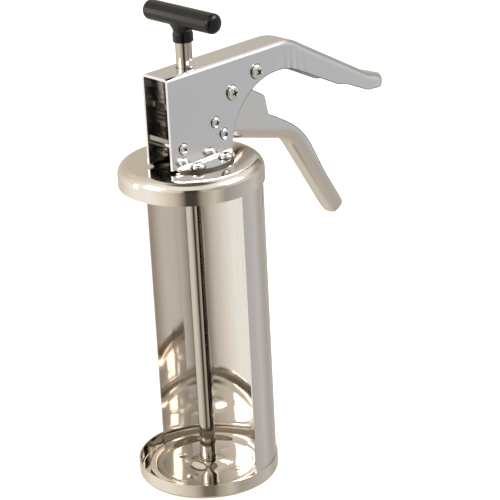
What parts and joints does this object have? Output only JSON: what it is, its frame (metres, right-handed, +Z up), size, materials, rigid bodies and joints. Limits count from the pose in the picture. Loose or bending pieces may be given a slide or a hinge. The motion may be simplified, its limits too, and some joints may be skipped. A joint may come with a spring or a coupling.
{
  "type": "sausage stuffer",
  "caption": "Hand-squeezed sausage stuffer: open half-round cartridge cradle, folded head with a fixed handle, squeeze lever and a push rod with T-grip and piston.",
  "frame": {"origin": "where the push rod's axis meets the plane that the base ring stands on, which is the centre of the ring's round mouth", "axes": "+Z up the push rod to the T-grip, +X from the rod towards the fixed handle and the squeeze lever, -X out of the cradle's open side"},
  "size_m": [0.1933, 0.0808, 0.2745],
  "materials": {
    "polished_sheet": "polished pressed stainless sheet",
    "rod_steel": "drawn and polished stainless bar",
    "ground_plate": "ground hardened plate",
    "turned_sleeves": "turned",
    "spring_wire": "drawn wire",
    "bright_fasteners": "bright nickel",
    "black_plastic": "moulded, glossy"
  },
  "bodies": {
    "frame": {"base_ring": "polished_sheet", "barrel_trough": "polished_sheet", "cap": "polished_sheet", "head_frame": "polished_sheet", "foot_screws": "bright_fasteners", "foot_nuts": "bright_fasteners", "pivot_screw": "bright_fasteners", "pivot_sleeve": "turned_sleeves", "pivot_nut": "bright_fasteners", "stop_screw": "bright_fasteners", "stop_sleeve": "turned_sleeves", "stop_nut": "bright_fasteners", "guide_screws": "bright_fasteners", "guide_sleeves": "turned_sleeves", "guide_nuts": "bright_fasteners", "drive_spring": "spring_wire", "brake_spring": "spring_wire"},
    "lever": {"squeeze_lever": "polished_sheet"},
    "drive": {"drive_plate": "ground_plate"},
    "brake": {"brake_plate": "ground_plate"},
    "piston": {"piston_dish": "polished_sheet"},
    "rod": {"push_rod": "rod_steel", "rod_stop_screw": "bright_fasteners", "t_handle": "black_plastic", "piston_washer": "bright_fasteners", "piston_screw": "bright_fasteners"}
  },
  "joints": [
    {"name": "lever_squeeze", "type": "hinge", "parent": "frame", "child": "lever", "pos_m": [0.0246, 0, 0.2222], "axis": [0, -1, 0], "range_deg": [0, 18], "stiffness_Nm_per_rad": 0.5, "springref_deg": -17.19},
    {"name": "drive_slide", "type": "slide", "parent": "frame", "child": "drive", "axis": [0, 0, -1], "range_m": [0, 0.0085], "deforming": ["drive_spring"]},
    {"name": "brake_press", "type": "hinge", "parent": "frame", "child": "brake", "pos_m": [0.0169, 0, 0.20325], "axis": [0, -1, 0], "range_deg": [0, 2.2], "stiffness_Nm_per_rad": 0.3, "springref_deg": -8.59, "deforming": ["brake_spring"]},
    {"name": "piston_slide", "type": "slide", "parent": "frame", "child": "piston", "axis": [0, 0, 1], "range_m": [0, 0.178]},
    {"name": "rod_turn", "type": "hinge", "parent": "piston", "child": "rod", "pos_m": [0, 0, 0], "axis": [0, 0, 1], "continuous": true}
  ],
  "couplings": [
    {"joint": "drive_slide", "follows": "lever_squeeze", "m_per_rad": 0.026491}
  ]
}
